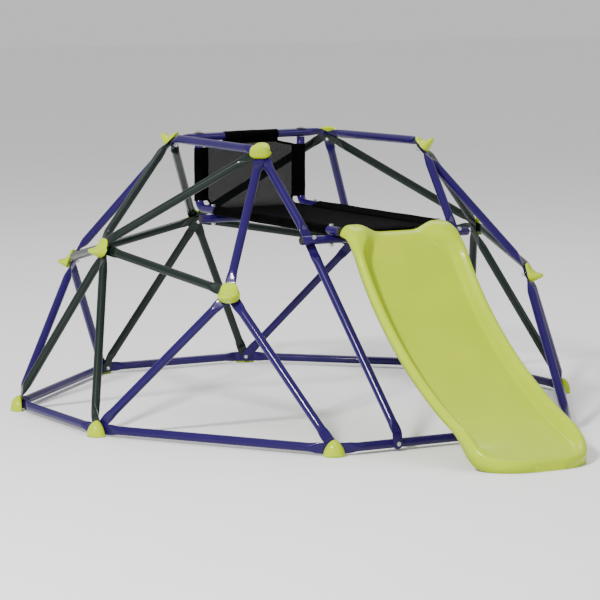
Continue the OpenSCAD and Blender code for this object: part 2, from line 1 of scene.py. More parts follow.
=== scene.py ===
import math
import bmesh
import bpy
import numpy as np
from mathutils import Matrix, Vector


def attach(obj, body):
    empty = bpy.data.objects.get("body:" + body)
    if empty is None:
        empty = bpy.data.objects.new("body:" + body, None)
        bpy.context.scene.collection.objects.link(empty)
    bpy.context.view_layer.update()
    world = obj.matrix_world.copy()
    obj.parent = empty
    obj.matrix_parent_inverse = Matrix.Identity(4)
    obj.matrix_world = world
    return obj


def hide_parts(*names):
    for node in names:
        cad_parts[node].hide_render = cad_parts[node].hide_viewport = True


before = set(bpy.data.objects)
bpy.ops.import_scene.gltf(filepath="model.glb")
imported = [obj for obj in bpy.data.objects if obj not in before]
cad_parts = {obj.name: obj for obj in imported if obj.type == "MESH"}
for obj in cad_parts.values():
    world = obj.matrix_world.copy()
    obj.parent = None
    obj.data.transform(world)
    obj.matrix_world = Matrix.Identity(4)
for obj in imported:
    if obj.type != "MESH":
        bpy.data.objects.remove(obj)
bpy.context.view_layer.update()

# ---------------------------------------------------------------------------
# Dome tubes
# 28 mm round steel tube, powder coated before assembly. Both ends of each tube are
# pressed flat, rounded, drilled and bent to lie on the joint's one through-bolt.
# ---------------------------------------------------------------------------
MM = 0.001
DOME_AXIS = np.array([0.0, 286.0, 0.0])
TUBE_R = 14.0
TAB_HALF_W = 17.0
TAB_HALF_T = 1.6
# From one stacked tab's middle to the next, from bolt to bend, and half the bend's soft length.
PITCH = 3.3
BEND_REACH = 36.0
BEND_SOFT = 5.0
# Distances from the bolt at which a tube's end gets a ring.
TAB_STATIONS = (-16.6, -14.5, -11, -6, 0, 12, 22, 28, 31, 34, 37, 40, 44, 49, 54, 60, 66, 72, 78, 84)


def unit(v):
    v = np.array(v, float)
    return v / np.linalg.norm(v)


def ease(x):
    x = min(1.0, max(0.0, x))
    return x * x * (3 - 2 * x)


def outward(heading, elevation):
    h, e = math.radians(heading), math.radians(elevation)
    return np.array([math.cos(e) * math.cos(h), math.cos(e) * math.sin(h), math.sin(e)])


def dome_joint(x, y, z, elevation):
    return np.array([x, y, z], float), outward(math.degrees(math.atan2(y, x)), elevation)


# Each joint's bolt: its place from the dome's axis, and the way that it points out of the dome.
JOINTS = {
    "top_back_left": dome_joint(-303, 303, 867, 43),
    "top_front_left": dome_joint(-303, -303, 867, 43),
    "top_back_right": dome_joint(303, 303, 867, 43),
    "top_front_right": dome_joint(303, -303, 867, 43),
    "corner_back_left": dome_joint(-557, 557, 458, 18),
    "corner_front_left": dome_joint(-557, -557, 458, 18),
    "corner_back_right": dome_joint(557, 557, 458, 18),
    "corner_front_right": dome_joint(557, -557, 458, 18),
    "middle_left": dome_joint(-712, 0, 554, 20),
    "middle_back": dome_joint(0, 712, 554, 20),
    "middle_right": dome_joint(712, 0, 554, 20),
    "foot_left_back": dome_joint(-878, 288, 23, 0),
    "foot_left_front": dome_joint(-878, -288, 23, 0),
    "foot_front_left": dome_joint(-421, -962, 23, 0),
    "foot_front_right": dome_joint(421, -962, 23, 0),
    "foot_right_front": dome_joint(878, -288, 23, 0),
    "foot_right_back": dome_joint(878, 288, 23, 0),
    "foot_back_right": dome_joint(286, 870, 23, 0),
    "foot_back_left": dome_joint(-286, 870, 23, 0),
    "portal_left": (np.array([-271, -558.0, 600.5]), outward(-90, 36.87)),
    "portal_right": (np.array([271, -558.0, 600.5]), outward(-90, 36.87)),
    "leg_foot_left": (np.array([-214, -995.2, 23.0]), outward(-90, 0)),
    "leg_foot_right": (np.array([214, -995.2, 23.0]), outward(-90, 0)),
}
# Name, first joint, second joint, then its place in the stack at each joint, 1 innermost.
TUBES = [
    ("top_tube_left", "top_back_left", "top_front_left", 3, 1),
    ("top_tube_back", "top_back_left", "top_back_right", 2, 4),
    ("top_tube_right", "top_back_right", "top_front_right", 2, 4),
    ("corner_tube_back_left", "top_back_left", "corner_back_left", 4, 2),
    ("corner_tube_front_left", "top_front_left", "corner_front_left", 3, 3),
    ("corner_tube_back_right", "top_back_right", "corner_back_right", 3, 2),
    ("corner_tube_front_right", "top_front_right", "corner_front_right", 1, 1),
    ("left_tube_to_top_back", "middle_left", "top_back_left", 5, 5),
    ("left_tube_to_top_front", "middle_left", "top_front_left", 6, 4),
    ("left_tube_to_corner_back", "middle_left", "corner_back_left", 3, 3),
    ("left_tube_to_corner_front", "middle_left", "corner_front_left", 1, 4),
    ("left_tube_to_foot_back", "middle_left", "foot_left_back", 2, 4),
    ("left_tube_to_foot_front", "middle_left", "foot_left_front", 4, 4),
    ("back_tube_to_top_left", "middle_back", "top_back_left", 6, 1),
    ("back_tube_to_top_right", "middle_back", "top_back_right", 3, 5),
    ("back_tube_to_corner_left", "middle_back", "corner_back_left", 2, 4),
    ("back_tube_to_corner_right", "middle_back", "corner_back_right", 4, 3),
    ("back_tube_to_foot_left", "middle_back", "foot_back_left", 1, 1),
    ("back_tube_to_foot_right", "middle_back", "foot_back_right", 5, 3),
    ("right_tube_to_top_back", "middle_right", "top_back_right", 5, 1),
    ("right_tube_to_top_front", "middle_right", "top_front_right", 2, 2),
    ("right_tube_to_corner_back", "middle_right", "corner_back_right", 3, 4),
    ("right_tube_to_corner_front", "middle_right", "corner_front_right", 6, 4),
    ("right_tube_to_foot_back", "middle_right", "foot_right_back", 4, 1),
    ("right_tube_to_foot_front", "middle_right", "foot_right_front", 1, 3),
    ("leg_back_left_outer", "corner_back_left", "foot_left_back", 1, 3),
    ("leg_back_left_inner", "corner_back_left", "foot_back_left", 5, 3),
    ("leg_front_left_outer", "corner_front_left", "foot_left_front", 1, 1),
    ("leg_front_left_inner", "corner_front_left", "foot_front_left", 2, 1),
    ("leg_back_right_outer", "corner_back_right", "foot_right_back", 5, 2),
    ("leg_back_right_inner", "corner_back_right", "foot_back_right", 1, 1),
    ("leg_front_right_outer", "corner_front_right", "foot_right_front", 2, 2),
    ("leg_front_right_inner", "corner_front_right", "foot_front_right", 3, 2),
    ("ground_tube_left", "foot_left_back", "foot_left_front", 1, 3),
    ("ground_tube_back_left", "foot_back_left", "foot_left_back", 2, 2),
    ("ground_tube_back", "foot_back_left", "foot_back_right", 4, 4),
    ("ground_tube_back_right", "foot_back_right", "foot_right_back", 2, 4),
    ("ground_tube_right", "foot_right_back", "foot_right_front", 3, 4),
    ("ground_tube_front_right", "foot_right_front", "foot_front_right", 1, 1),
    ("ground_tube_front", "foot_front_left", "foot_front_right", 3, 3),
    ("ground_tube_front_left", "foot_front_left", "foot_left_front", 2, 2),
    ("portal_upper_leg_left", "top_front_left", "portal_left", 2, 2),
    ("portal_upper_leg_right", "top_front_right", "portal_right", 3, 2),
    ("portal_lower_leg_left", "portal_left", "leg_foot_left", 1, 1),
    ("portal_lower_leg_right", "portal_right", "leg_foot_right", 1, 1),
]


def tabs_at(joint):
    return sum(joint in row[1:3] for row in TUBES)


def stack_half(joint):
    return tabs_at(joint) * PITCH / 2


def lift_at(joint, place):
    return (place - 1 - (tabs_at(joint) - 1) / 2) * PITCH


def oval(centre, wide, thick, a, b, power, n=28):
    """Closed ring of points, from a flat rounded strip (high power) to a circle (power 2)."""
    ring = []
    for i in range(n):
        t = 2 * math.pi * (i + 0.5) / n
        c, s = math.cos(t), math.sin(t)
        x = a * math.copysign(abs(c) ** (2 / power), c)
        y = b * math.copysign(abs(s) ** (2 / power), s)
        ring.append(centre + x * wide + y * thick)
    return ring


def loft(name, rings, finish, caps=True, flat_ends=True):
    """One smooth mesh through equal rings of points given in millimetres from the dome's axis."""
    n = len(rings[0])
    verts = [tuple((np.array(p) + DOME_AXIS) * MM) for ring in rings for p in ring]
    faces = []
    for k in range(len(rings) - 1):
        a, b = k * n, (k + 1) * n
        for i in range(n):
            j = (i + 1) % n
            faces.append((a + i, a + j, b + j, b + i))
    if caps:
        faces.append(tuple(range(n - 1, -1, -1)))
        faces.append(tuple((len(rings) - 1) * n + i for i in range(n)))
    mesh = bpy.data.meshes.new(name)
    mesh.from_pydata(verts, [], faces)
    mesh.update()
    mesh.materials.append(finish)
    for p in mesh.polygons:
        p.use_smooth = True
    if caps and flat_ends:
        mesh.polygons[-1].use_smooth = False
        mesh.polygons[-2].use_smooth = False
    piece = bpy.data.objects.new(name, mesh)
    bpy.context.collection.objects.link(piece)
    return piece


def bend_point(joint, place, aim):
    """Where the flat end bends into the tube's own direction."""
    at, n = JOINTS[joint]
    return at + n * lift_at(joint, place) + BEND_REACH * unit(aim - n * np.dot(aim, n))


def tube_ends(row):
    _, a, b, place_a, place_b = row
    aim = unit(JOINTS[b][0] - JOINTS[a][0])
    return bend_point(a, place_a, aim), bend_point(b, place_b, -aim)


def tube_half(joint, place, aim, line):
    """Rows from a tab's tip to the round tube: centre, thin direction, half width, half thickness, power."""
    at, n = JOINTS[joint]
    flat_way = unit(aim - n * np.dot(aim, n))
    bend_at = bend_point(joint, place, aim)
    rows = []
    for s in TAB_STATIONS:
        over = s - BEND_REACH
        ahead, behind = max(0.0, over), min(0.0, over)
        if abs(over) < BEND_SOFT:
            ahead = (over + BEND_SOFT) ** 2 / (4 * BEND_SOFT)
            behind = -(over - BEND_SOFT) ** 2 / (4 * BEND_SOFT)
        open_up = ease((s - 32) / 48)
        half_w = TAB_HALF_W + 0.8 * math.sin(math.pi * open_up) - (TAB_HALF_W - TUBE_R) * open_up
        if s < 0:
            half_w = math.sqrt(TAB_HALF_W ** 2 - s * s)
        half_t = TAB_HALF_T + (TUBE_R - TAB_HALF_T) * open_up
        power = 5 - 3 * ease((s - 34) / 40)
        rows.append([bend_at + flat_way * behind + line * ahead, n, half_w, half_t, power])
    return rows


def tube_rings(row):
    _, a, b, place_a, place_b = row
    aim = unit(JOINTS[b][0] - JOINTS[a][0])
    start, end = tube_ends(row)
    line = unit(end - start)
    first = tube_half(a, place_a, aim, line)
    last = tube_half(b, place_b, -aim, -line)[::-1]
    middle = []
    for k in range(1, 9):
        t = k / 9
        centre = first[-1][0] * (1 - t) + last[0][0] * t
        thick = unit(first[-1][1] * (1 - t) + last[0][1] * t)
        middle.append([centre, thick, TUBE_R, TUBE_R, 2])
    rows = first + middle + last
    rings = []
    for k, (centre, thick, half_w, half_t, power) in enumerate(rows):
        tangent = unit(rows[min(k + 1, len(rows) - 1)][0] - rows[max(k - 1, 0)][0])
        thick = unit(thick - tangent * np.dot(thick, tangent))
        rings.append(oval(centre, np.cross(thick, tangent), thick, half_w, half_t, power))
    return rings


def material(name):
    mat = bpy.data.materials.new(name)
    mat.use_nodes = True
    tree = mat.node_tree
    tree.nodes.clear()
    out = tree.nodes.new("ShaderNodeOutputMaterial")
    shader = tree.nodes.new("ShaderNodeBsdfPrincipled")
    tree.links.new(shader.outputs["BSDF"], out.inputs["Surface"])
    return mat, tree, shader


def noise_node(tree, scale, detail=3.0, rough=0.5):
    coords = tree.nodes.new("ShaderNodeTexCoord")
    tex = tree.nodes.new("ShaderNodeTexNoise")
    tex.inputs["Scale"].default_value = scale
    tex.inputs["Detail"].default_value = detail
    tex.inputs["Roughness"].default_value = rough
    tree.links.new(coords.outputs["Object"], tex.inputs["Vector"])
    return tex


def tint(tree, shader, pattern, dark, light):
    """Base colour that drifts between two shades with a pattern."""
    node = tree.nodes.new("ShaderNodeValToRGB")
    for stop, colour, place in zip(node.color_ramp.elements, (dark, light), (0.3, 0.7)):
        stop.color = (*colour, 1)
        stop.position = place
    tree.links.new(pattern.outputs["Fac"], node.inputs["Fac"])
    tree.links.new(node.outputs["Color"], shader.inputs["Base Color"])


def gloss(tree, shader, pattern, low, high):
    """Roughness that varies between two values with a pattern."""
    node = tree.nodes.new("ShaderNodeMapRange")
    node.inputs["From Min"].default_value = 0.3
    node.inputs["From Max"].default_value = 0.7
    node.inputs["To Min"].default_value = low
    node.inputs["To Max"].default_value = high
    tree.links.new(pattern.outputs["Fac"], node.inputs["Value"])
    tree.links.new(node.outputs["Result"], shader.inputs["Roughness"])


def bump(tree, shader, height, strength, distance):
    node = tree.nodes.new("ShaderNodeBump")
    node.inputs["Strength"].default_value = strength
    node.inputs["Distance"].default_value = distance
    tree.links.new(height, node.inputs["Height"])
    tree.links.new(node.outputs["Normal"], shader.inputs["Normal"])


def coated(name, dark, light, rough, coat):
    """Coloured surface with slow colour drift, uneven gloss and a fine orange-peel."""
    mat, tree, shader = material(name)
    tint(tree, shader, noise_node(tree, 9, 4, 0.6), dark, light)
    gloss(tree, shader, noise_node(tree, 60, 5, 0.65), rough - 0.02, rough + 0.04)
    shader.inputs["Coat Weight"].default_value = coat
    shader.inputs["Coat Roughness"].default_value = 0.06
    shader.inputs["Specular IOR Level"].default_value = 0.12
    bump(tree, shader, noise_node(tree, 700, 2, 0.5).outputs["Fac"], 0.03, 0.0001)
    return mat


indigo_paint = coated("indigo_powder_coat", (0.010, 0.002, 0.068), (0.013, 0.003, 0.082), 0.34, 0.30)
pine_paint = coated("dark_green_powder_coat", (0.004, 0.010, 0.008), (0.007, 0.015, 0.012), 0.34, 0.30)

for row in TUBES:
    name = row[0]
    green = "_tube_to_" in name
    paint, slot = (pine_paint, "green_tube") if green else (indigo_paint, "indigo_tube")
    tube = loft("skin_" + name, tube_rings(row), paint, flat_ends=False)
    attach(tube, "root")
    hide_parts(name)

# ---------------------------------------------------------------------------
# Through-bolts, domed nuts, threaded inserts
# Zinc-plated steel, one bolt to a joint, its head in a pocket under the grip or foot
# cap where there is one and its domed nut inside. The post inserts are dark plastic.
# ---------------------------------------------------------------------------
zinc, tree, shader = material("zinc_plate")
shader.inputs["Metallic"].default_value = 1.0
grain = noise_node(tree, 260, 4, 0.6)
tint(tree, shader, grain, (0.50, 0.51, 0.53), (0.72, 0.73, 0.74))
gloss(tree, shader, grain, 0.26, 0.46)
bump(tree, shader, grain.outputs["Fac"], 0.15, 0.0003)
insert_plastic = coated("insert_plastic", (0.05, 0.05, 0.055), (0.07, 0.07, 0.075), 0.5, 0.0)


def refinish(node, finish):
    """Gives a piece that keeps its CAD mesh its own finish."""
    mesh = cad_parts[node].data
    mesh.materials.clear()
    mesh.materials.append(finish)


for name in ("frame_bolts", "seat_bolts", "cap_nuts"):
    refinish(name, zinc)
refinish("post_inserts", insert_plastic)

# ---------------------------------------------------------------------------
# Hand grips
# Moulded lime plastic, one on the outside of each of the eleven upper joints. A flat
# foot lies on the tube ends; a hollow for the fingers runs up to a blunt horn below it.
# ---------------------------------------------------------------------------
lime_plastic, tree, shader = material("lime_plastic")
tint(tree, shader, noise_node(tree, 7, 4, 0.55), (0.40, 0.53, 0.0004), (0.44, 0.57, 0.0012))
gloss(tree, shader, noise_node(tree, 40, 6, 0.7), 0.34, 0.46)
shader.inputs["Specular IOR Level"].default_value = 0.12
shader.inputs["Coat Weight"].default_value = 0.25
shader.inputs["Coat Roughness"].default_value = 0.10
bump(tree, shader, noise_node(tree, 500, 3, 0.6).outputs["Fac"], 0.10, 0.0005)

GRIP_HALF_W = 33.0
# Down the slope and out of the dome, from the foot's upper edge over the horn to its lower edge.
GRIP_OUTLINE = [
    (-33, 0), (-33.5, 4), (-32, 7.5), (-26, 9.5), (-18, 11), (-10, 13), (-3, 16),
    (3, 20), (8, 25), (11.5, 30), (14.5, 35), (17.5, 39.5), (20.5, 42.5), (24, 43.5),
    (27.5, 42), (30, 38), (31, 32), (32, 24), (32.8, 15), (33.2, 7), (33, 0),
]


def on_joint(joint, lift, x, y, z):
    """A joint's own axes: x down the slope, y across, z out of the dome."""
    at, n = JOINTS[joint]
    across = unit(np.cross([0, 0, 1], n))
    down = np.cross(across, n)
    return at + down * x + across * y + n * (z + lift)


def grip_rings(joint):
    """Rings from side to side of one grip; a top grip is shorter and its horn leans further up."""
    on_top = joint.startswith("top")
    lean, shrink, shift = (0.30, 0.92, -3.0) if on_top else (0.05, 0.97, 0.0)
    rings = []
    for k in range(23):
        v = -math.cos(math.pi * k / 22)
        foot = (1 - 0.999 * abs(v) ** 2.8) ** 0.36
        tall = (1 - 0.999 * abs(v) ** 2.2) ** 0.48
        ring = []
        for x, z in GRIP_OUTLINE:
            width = GRIP_HALF_W * (1 + 0.0032 * x) * (1 - 0.0016 * z)
            along = shift + shrink * x * foot - lean * z * tall
            ring.append(on_joint(joint, stack_half(joint), along, v * width, z * tall))
        rings.append(ring)
    return rings


def join(name, parts):
    bpy.ops.object.select_all(action="DESELECT")
    for part in parts:
        part.select_set(True)
    bpy.context.view_layer.objects.active = parts[0]
    bpy.ops.object.join()
    parts[0].name = name
    parts[0].data.name = name
    return parts[0]


for node, where in (("top_grips", "top"), ("side_grips", ("corner", "middle"))):
    joints = [joint for joint in JOINTS if joint.startswith(where)]
    grips = [loft("grip", grip_rings(j), lime_plastic, flat_ends=False) for j in joints]
    grips = join("skin_" + node, grips)
    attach(grips, "root")
    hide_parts(node)

# ---------------------------------------------------------------------------
# Foot caps
# Moulded lime plastic quarter-domes, one on each of the eight feet: a flat back against
# the tube ends, a flat sole on the ground.
# ---------------------------------------------------------------------------
FOOT_HALF_W = 34.0
FOOT_DEPTH = 33.0
FOOT_TALL = 50.0


def foot_rings(joint):
    """Rings from side to side of one cap, each from the sole over the dome to the flat back."""
    rings = []
    base_z = JOINTS[joint][0][2]
    lift = stack_half(joint)
    for k in range(21):
        v = -math.cos(math.pi * k / 20)
        tall = 0.02 + 0.98 * (1 - abs(v) ** 1.7) ** 0.62
        deep = 0.02 + 0.98 * (1 - abs(v) ** 2.4) ** 0.5
        ring = [(0, 0), (FOOT_DEPTH * deep, 0)]
        for i in range(1, 12):
            t = math.pi / 2 * i / 11
            ring.append((FOOT_DEPTH * deep * math.cos(t) ** 0.8, FOOT_TALL * tall * math.sin(t) ** 0.9))
        ring.append((0, FOOT_TALL * tall * 0.5))
        rings.append([on_joint(joint, lift, base_z - z, v * FOOT_HALF_W, depth) for depth, z in ring])
    return rings


feet = [joint for joint in JOINTS if joint.startswith("foot")]
caps = join("skin_foot_caps", [loft("cap", foot_rings(j), lime_plastic) for j in feet])
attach(caps, "root")
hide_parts("foot_caps")

# ---------------------------------------------------------------------------
# Cross tubes and their plugs
# Plain round tubes: one bolted across the front of the portal legs, which carries the
# seat rails and the slide, and one under the back of the rails. Dark push-in plugs.
# ---------------------------------------------------------------------------
black_plastic = coated("black_plastic", (0.018, 0.018, 0.020), (0.030, 0.030, 0.033), 0.42, 0.0)


def straight_rings(start, end, radii):
    start, end = np.array(start, float), np.array(end, float)
    d = unit(end - start)
    side = unit(np.cross(d, [0.1, 0.2, 1]))
    other = np.cross(d, side)
    return [oval(start + d * s, side, other, r, r, 2) for s, r in radii]


# Distance past the tube's end and radius there.
PLUG = [(-1, 13.3), (0, 13.7), (1.6, 13.3), (3.0, 11.8), (3.7, 9), (4.0, 4), (4.0, 1)]


def plug_in(end, way):
    """The domed plug in a tube's open end."""
    end, way = np.array(end, float), np.array(way, float)
    return loft("plug", straight_rings(end, end + 10 * way, PLUG), black_plastic)


# Half length, place along Y and height.
CROSS_TUBES = {"cross_tube": (309, -572, 611), "rear_cross_tube": (248, 211, 611)}
BROKEN_EDGE = 0.6
plugs = []
for name, (half, y, z) in CROSS_TUBES.items():
    radii = [(0, TUBE_R - BROKEN_EDGE), (BROKEN_EDGE, TUBE_R)]
    radii += [(half * 2 * i / 8, TUBE_R) for i in range(1, 8)]
    radii += [(2 * half - BROKEN_EDGE, TUBE_R), (2 * half, TUBE_R - BROKEN_EDGE)]
    rings = straight_rings((-half, y, z), (half, y, z), radii)
    tube = loft("skin_" + name, rings, indigo_paint)
    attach(tube, "root")
    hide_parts(name)
    for side in (-1, 1):
        plugs.append(plug_in((side * half, y, z), (side, 0, 0)))

# ---------------------------------------------------------------------------
# Seat tubes
# Two L-shaped tubes: each post hangs from the top back tube, bends through a quarter
# turn and runs forward as a rail that rests on both cross tubes.
# ---------------------------------------------------------------------------
RAIL_X = 200.0
RAIL_Z = 639.0
RAIL_END = -622.0
POST_Y = 314.3
BEND_R = 36.0


def rail_path():
    """(y, z) down the post, round the bend and forward to the rail's end."""
    points = [(POST_Y, z) for z in (868, 840, 800, 760, 720)]
    for k in range(13):
        a = math.pi / 2 * k / 12
        points.append((POST_Y - BEND_R * (1 - math.cos(a)), RAIL_Z + BEND_R * (1 - math.sin(a))))
    ahead = list(range(200, -601, -100)) + [RAIL_END + BROKEN_EDGE, RAIL_END]
    return points + [(y, RAIL_Z) for y in ahead]


def path_rings(x, path, radius):
    rings = []
    for k, (y, z) in enumerate(path):
        a, b = path[max(k - 1, 0)], path[min(k + 1, len(path) - 1)]
        tangent = unit([0, b[0] - a[0], b[1] - a[1]])
        across = np.array([1.0, 0, 0])
        rings.append(oval(np.array([x, y, z]), across, np.cross(across, tangent), radius, radius, 2))
    return rings


for side, name in ((-1, "seat_rail_left"), (1, "seat_rail_right")):
    tube = loft("skin_" + name, path_rings(side * RAIL_X, rail_path(), TUBE_R), indigo_paint)
    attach(tube, "root")
    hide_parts(name)
    plugs.append(plug_in((side * RAIL_X, RAIL_END, RAIL_Z), (0, -1, 0)))
plugs = join("skin_tube_plugs", plugs)
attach(plugs, "root")
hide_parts("tube_plugs")

# Curved plastic washers under the post bolts, on top of the back tube.
refinish("saddle_washers", black_plastic)

# ---------------------------------------------------------------------------
# Sling
# One piece of black polyester mesh, back and seat, with bound cut-outs at its corners
# and wide black woven sleeves stitched along it that slip over the tubes.
# ---------------------------------------------------------------------------
sleeve_cloth, tree, shader = material("black_sleeve_cloth")
coords = tree.nodes.new("ShaderNodeTexCoord")
twill = tree.nodes.new("ShaderNodeTexWave")
twill.bands_direction = "DIAGONAL"
twill.inputs["Scale"].default_value = 320
tree.links.new(coords.outputs["Object"], twill.inputs["Vector"])
tint(tree, shader, noise_node(tree, 22, 4, 0.6), (0.0006, 0.0006, 0.0008), (0.0016, 0.0016, 0.0018))
shader.inputs["Roughness"].default_value = 0.85
shader.inputs["Specular IOR Level"].default_value = 0.02
bump(tree, shader, twill.outputs["Fac"], 0.3, 0.0006)

mesh_cloth, tree, shader = material("black_open_mesh")
shader.inputs["Roughness"].default_value = 0.8
shader.inputs["Specular IOR Level"].default_value = 0.02
tint(tree, shader, noise_node(tree, 14, 4, 0.6), (0.0012, 0.0012, 0.0016), (0.003, 0.003, 0.0035))
uv = tree.nodes.new("ShaderNodeUVMap")
uv.uv_map = "weave"
threads = []
for direction in ("X", "Y"):
    wave = tree.nodes.new("ShaderNodeTexWave")
    wave.bands_direction = direction
    wave.inputs["Scale"].default_value = 150
    wave.inputs["Distortion"].default_value = 0.6
    tree.links.new(uv.outputs["UV"], wave.inputs["Vector"])
    threads.append(wave)
cover = tree.nodes.new("ShaderNodeMath")
cover.operation = "MAXIMUM"
tree.links.new(threads[0].outputs["Fac"], cover.inputs[0])
tree.links.new(threads[1].outputs["Fac"], cover.inputs[1])
solid = tree.nodes.new("ShaderNodeMapRange")
solid.inputs["From Min"].default_value = 0.25
solid.inputs["From Max"].default_value = 0.55
# The back lets some light through between its threads; the seat lets almost none.
length_way = tree.nodes.new("ShaderNodeSeparateXYZ")
tree.links.new(uv.outputs["UV"], length_way.inputs["Vector"])
seat_weave = tree.nodes.new("ShaderNodeMapRange")
seat_weave.inputs["From Min"].default_value = 0.20
seat_weave.inputs["From Max"].default_value = 0.26
seat_weave.inputs["To Min"].default_value = 0.66
seat_weave.inputs["To Max"].default_value = 0.99
tree.links.new(length_way.outputs["Y"], seat_weave.inputs["Value"])
tree.links.new(seat_weave.outputs["Result"], solid.inputs["To Min"])
solid.inputs["To Max"].default_value = 1.0
tree.links.new(cover.outputs["Value"], solid.inputs["Value"])
tree.links.new(solid.outputs["Result"], shader.inputs["Alpha"])
bump(tree, shader, cover.outputs["Value"], 0.4, 0.0008)

BACK_TOP = 866.0
SEAT_FRONT = -620.0
CLOTH_X = 181.0
BACK_BELLY = 5.0
SEAT_SAG = 9.0


def cloth_path(count):
    """Evenly spaced (length, y, z) from the top of the back, round the bend, to the front hem."""
    straight = BACK_TOP - (RAIL_Z + BEND_R)
    arc = math.pi / 2 * BEND_R
    run = POST_Y - BEND_R - SEAT_FRONT
    total = straight + arc + run
    rows = []
    for k in range(count):
        s = total * k / (count - 1)
        if s < straight:
            rows.append((s, POST_Y, BACK_TOP - s))
        elif s < straight + arc:
            a = (s - straight) / BEND_R
            rows.append((s, POST_Y - BEND_R * (1 - math.cos(a)), RAIL_Z + BEND_R * (1 - math.sin(a))))
        else:
            rows.append((s, POST_Y - BEND_R - (s - straight - arc), RAIL_Z))
    return rows, straight + arc / 2, total


def cloth_half_width(s, bend_at):
    """The sheet's half width: full between the tubes, hollowed at the top corners and beside the bend."""
    half = CLOTH_X
    if s < 30:
        half = min(half, 104 + (CLOTH_X - 104) * ease((s - 8) / 20))
    gap = abs(s - bend_at)
    if gap < 26:
        half = min(half, CLOTH_X - 22 * math.sqrt(1 - (gap / 26) ** 2))
    return half


COLUMNS, ROWS = 33, 221
path, bend_at, total = cloth_path(ROWS)
verts, uvs, edges_left, edges_right = [], [], [], []
for s, y, z in path:
    half = cloth_half_width(s, bend_at)
    back = max(0.0, 1 - abs(s - 80) / 90)
    seat = math.sin(math.pi * min(1, max(0, (s - bend_at - 30) / (total - bend_at - 40))))
    for c in range(COLUMNS):
        u = -1 + 2 * c / (COLUMNS - 1)
        belly = 1 - u * u
        verts.append((u * half, y + BACK_BELLY * back * belly, z - SEAT_SAG * seat * belly))
        uvs.append((u * half * MM, s * MM))
    edges_left.append(verts[-COLUMNS])
    edges_right.append(verts[-1])
faces = [(r * COLUMNS + c, r * COLUMNS + c + 1, (r + 1) * COLUMNS + c + 1, (r + 1) * COLUMNS + c)
         for r in range(ROWS - 1) for c in range(COLUMNS - 1)]
mesh = bpy.data.meshes.new("sling_mesh")
mesh.from_pydata([tuple((np.array(v) + DOME_AXIS) * MM) for v in verts], [], faces)
mesh.update()
layer = mesh.uv_layers.new(name="weave")
for loop in mesh.loops:
    layer.data[loop.index].uv = uvs[loop.vertex_index]
mesh.materials.append(mesh_cloth)
for p in mesh.polygons:
    p.use_smooth = True
sling = bpy.data.objects.new("sling_mesh", mesh)
bpy.context.collection.objects.link(sling)
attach(sling, "root")

SLEEVE_R = 16.0
TAIL = 36.0


def teardrop(centre, out, side, tail, wobble=0.0):
    """Sleeve section: cloth round the tube, closing on a flat stitched hem that points along -out."""
    ring = []
    touch = math.degrees(math.acos(SLEEVE_R / tail))
    turn = 180 - touch
    for k in range(25):
        a = math.radians(-turn + 2 * turn * k / 24)
        r = SLEEVE_R + wobble * math.sin(3 * a + 1)
        ring.append(centre + out * r * math.cos(a) + side * r * math.sin(a))
    for x, y in ((0.55, 0.5), (1.0, 0.07), (1.0, -0.07), (0.55, -0.5)):
        reach = -SLEEVE_R * math.cos(math.radians(touch)) * (1 - x) - tail * x
        rise = SLEEVE_R * math.sin(math.radians(touch)) * abs(y) * (1 - x) / 0.45 * 0.9 if x < 1 else 1.3
        ring.append(centre + out * reach + side * math.copysign(max(rise, 1.3), y))
    return ring


def sleeve(name, start, end, out, steps=25, tail=TAIL, seed=0.0):
    start, end, out = np.array(start, float), np.array(end, float), np.array(out, float)
    d = unit(end - start)
    side = np.cross(d, out)
    rings = []
    for k in range(steps):
        t = k / (steps - 1)
        wobble = 0.5 * math.sin(9 * t + seed) + 0.35 * math.sin(23 * t + 2 * seed)
        shrink = 0.6 if k in (0, steps - 1) else 0.0
        rings.append(teardrop(start * (1 - t) + end * t, out, side, tail - shrink, wobble))
    return loft(name, rings, sleeve_cloth)


sleeves = []
for side, word in ((-1, "left"), (1, "right")):
    x = side * RAIL_X
    out = (side, 0, 0)
    post = sleeve("sling_post_sleeve_" + word, (x, POST_Y, 844), (x, POST_Y, 663), out, 20, seed=side)
    rail = sleeve("sling_rail_sleeve_" + word, (x, 184, RAIL_Z), (x, -556, RAIL_Z), out, 60, seed=2 + side)
    sleeves += [post, rail]
left_end, right_end = tube_ends(next(row for row in TUBES if row[0] == "top_tube_back"))
along = right_end - left_end
start, end = [left_end + along * (x - left_end[0]) / along[0] for x in (-104, 104)]
sleeves.append(sleeve("sling_top_sleeve", start, end, (0, 0, 1), 24, tail=28, seed=4))


def binding(name, points, half=5.0, thick=1.4):
    """Narrow tape folded over a cut edge of the cloth."""
    rings = []
    for k, p in enumerate(points):
        a, b = np.array(points[max(k - 1, 0)]), np.array(points[min(k + 1, len(points) - 1)])
        d = unit(b - a)
        normal = np.cross(d, [1, 0, 0])
        if abs(d[0]) >= 0.9:
            normal = np.cross([1, 0, 0], np.cross(d, [0, 0.7, 0.7]))
        normal = unit(normal)
        wide = np.cross(normal, d)
        rings.append(oval(np.array(p), wide, normal, half, thick, 4, 12))
    return loft(name, rings, sleeve_cloth)


def near(edge, low, high):
    """The points of a long edge that lie between two lengths down the cloth."""
    return [p for p, row in zip(edge, path) if low <= row[0] <= high]


